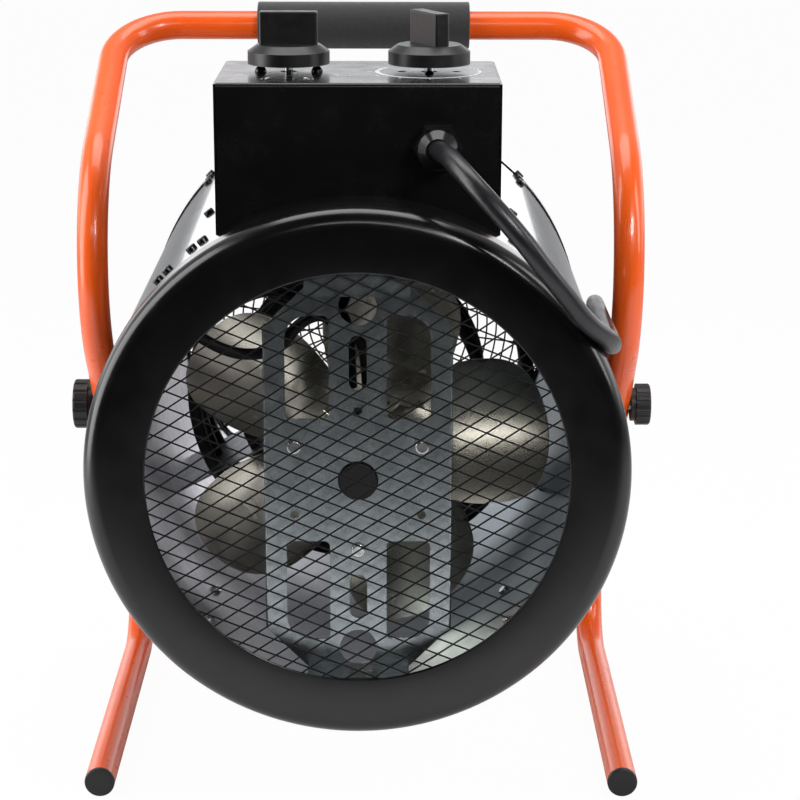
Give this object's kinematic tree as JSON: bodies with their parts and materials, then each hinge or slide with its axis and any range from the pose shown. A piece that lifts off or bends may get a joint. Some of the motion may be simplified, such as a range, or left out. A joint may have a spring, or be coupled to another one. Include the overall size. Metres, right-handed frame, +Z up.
{
  "type": "forced air heater",
  "caption": "Round electric forced air heater that tilts in a bent tube stand, with a control box on top and a carrying bar.",
  "frame": {"origin": "on the floor, at the centre of the heater and stand's bounding box without the free cord", "axes": "+X to the right seen from the intake, +Y along the air flow from intake to outlet, +Z up"},
  "size_m": [0.395, 0.6146, 0.519],
  "materials": {
    "black_gloss": "gloss",
    "black_plastic": "satin",
    "black_satin": "satin",
    "blade_aluminium": "satin",
    "brass": "bright",
    "bright_steel": "bright",
    "cord_rubber": "matt",
    "element_black": "oxidised",
    "foam_rubber": "matt",
    "galvanised": "spangled",
    "lead_silicone": "matt",
    "motor_black": "satin",
    "orange_paint": "gloss",
    "plug_red": "satin",
    "white_plastic": "satin",
    "wire_black": "satin"
  },
  "bodies": {
    "stand": {"stand_frame": "orange_paint", "hand_grip": "foam_rubber", "end_caps": "black_plastic", "cord_rear_stretch": "cord_rubber", "cord_coil": "cord_rubber", "coil_tie": "black_plastic", "cord_tail": "cord_rubber", "plug_body": "plug_red", "plug_pins": "brass"},
    "heater": {"casing": "black_gloss", "intake_ring": "black_satin", "intake_mesh": "wire_black", "mesh_retainer": "black_satin", "outlet_ring": "black_gloss", "outlet_grille": "wire_black", "inner_duct": "galvanised", "duct_brackets": "galvanised", "casing_screws": "black_satin", "outlet_screws": "black_satin", "duct_screws": "bright_steel", "motor_bracket": "galvanised", "bracket_fixings": "bright_steel", "motor_housing": "motor_black", "motor_screws": "bright_steel", "motor_leads": "cord_rubber", "heating_element_1": "element_black", "heating_element_2": "element_black", "heating_element_3": "element_black", "element_ferrules": "brass", "element_supports": "galvanised", "star_busbar": "brass", "phase_leads": "lead_silicone", "thermal_cutout": "white_plastic", "box_cover": "black_satin", "box_side_panels": "black_satin", "component_tray": "galvanised", "rotary_switch": "black_plastic", "thermostat_body": "white_plastic", "panel_screws": "black_satin", "contactor": "black_plastic", "terminal_block": "white_plastic", "sensor_bulb": "brass", "lead_grommet": "foam_rubber", "cable_gland": "black_plastic", "gland_nut": "black_plastic", "pivot_bosses": "bright_steel", "pivot_saddles": "foam_rubber", "cord_near_stretch": "cord_rubber"},
    "fan": {"fan_wheel": "blade_aluminium", "fan_hub": "blade_aluminium", "fan_shaft": "bright_steel", "fan_nut": "bright_steel"},
    "mode_control": {"mode_knob": "black_plastic", "mode_spindle": "bright_steel"},
    "thermostat_control": {"thermostat_knob": "black_plastic", "thermostat_spindle": "bright_steel"},
    "clamp_left": {"clamp_knob_left": "black_plastic", "clamp_stud_left": "bright_steel"},
    "clamp_right": {"clamp_knob_right": "black_plastic", "clamp_stud_right": "bright_steel"}
  },
  "joints": [
    {"name": "heater_tilt", "type": "hinge", "parent": "stand", "child": "heater", "pos_m": [0, 0.03458, 0.239], "axis": [-1, 0, 0], "range_deg": [-20, 30]},
    {"name": "fan_spin", "type": "hinge", "parent": "heater", "child": "fan", "pos_m": [0, -0.113, 0.251], "axis": [0, -1, 0], "continuous": true},
    {"name": "mode_knob_turn", "type": "hinge", "parent": "heater", "child": "mode_control", "pos_m": [-0.0423, -0.0925, 0.49], "axis": [0, 0, -1], "range_deg": [0, 135]},
    {"name": "thermostat_knob_turn", "type": "hinge", "parent": "heater", "child": "thermostat_control", "pos_m": [0.0423, -0.0925, 0.49], "axis": [0, 0, -1], "range_deg": [-120, 150]},
    {"name": "clamp_knob_left_turn", "type": "hinge", "parent": "heater", "child": "clamp_left", "pos_m": [-0.19, 0.03458, 0.239], "axis": [-1, 0, 0], "range_deg": [0, 360]},
    {"name": "clamp_knob_right_turn", "type": "hinge", "parent": "heater", "child": "clamp_right", "pos_m": [0.19, 0.03458, 0.239], "axis": [1, 0, 0], "range_deg": [0, 360]}
  ]
}
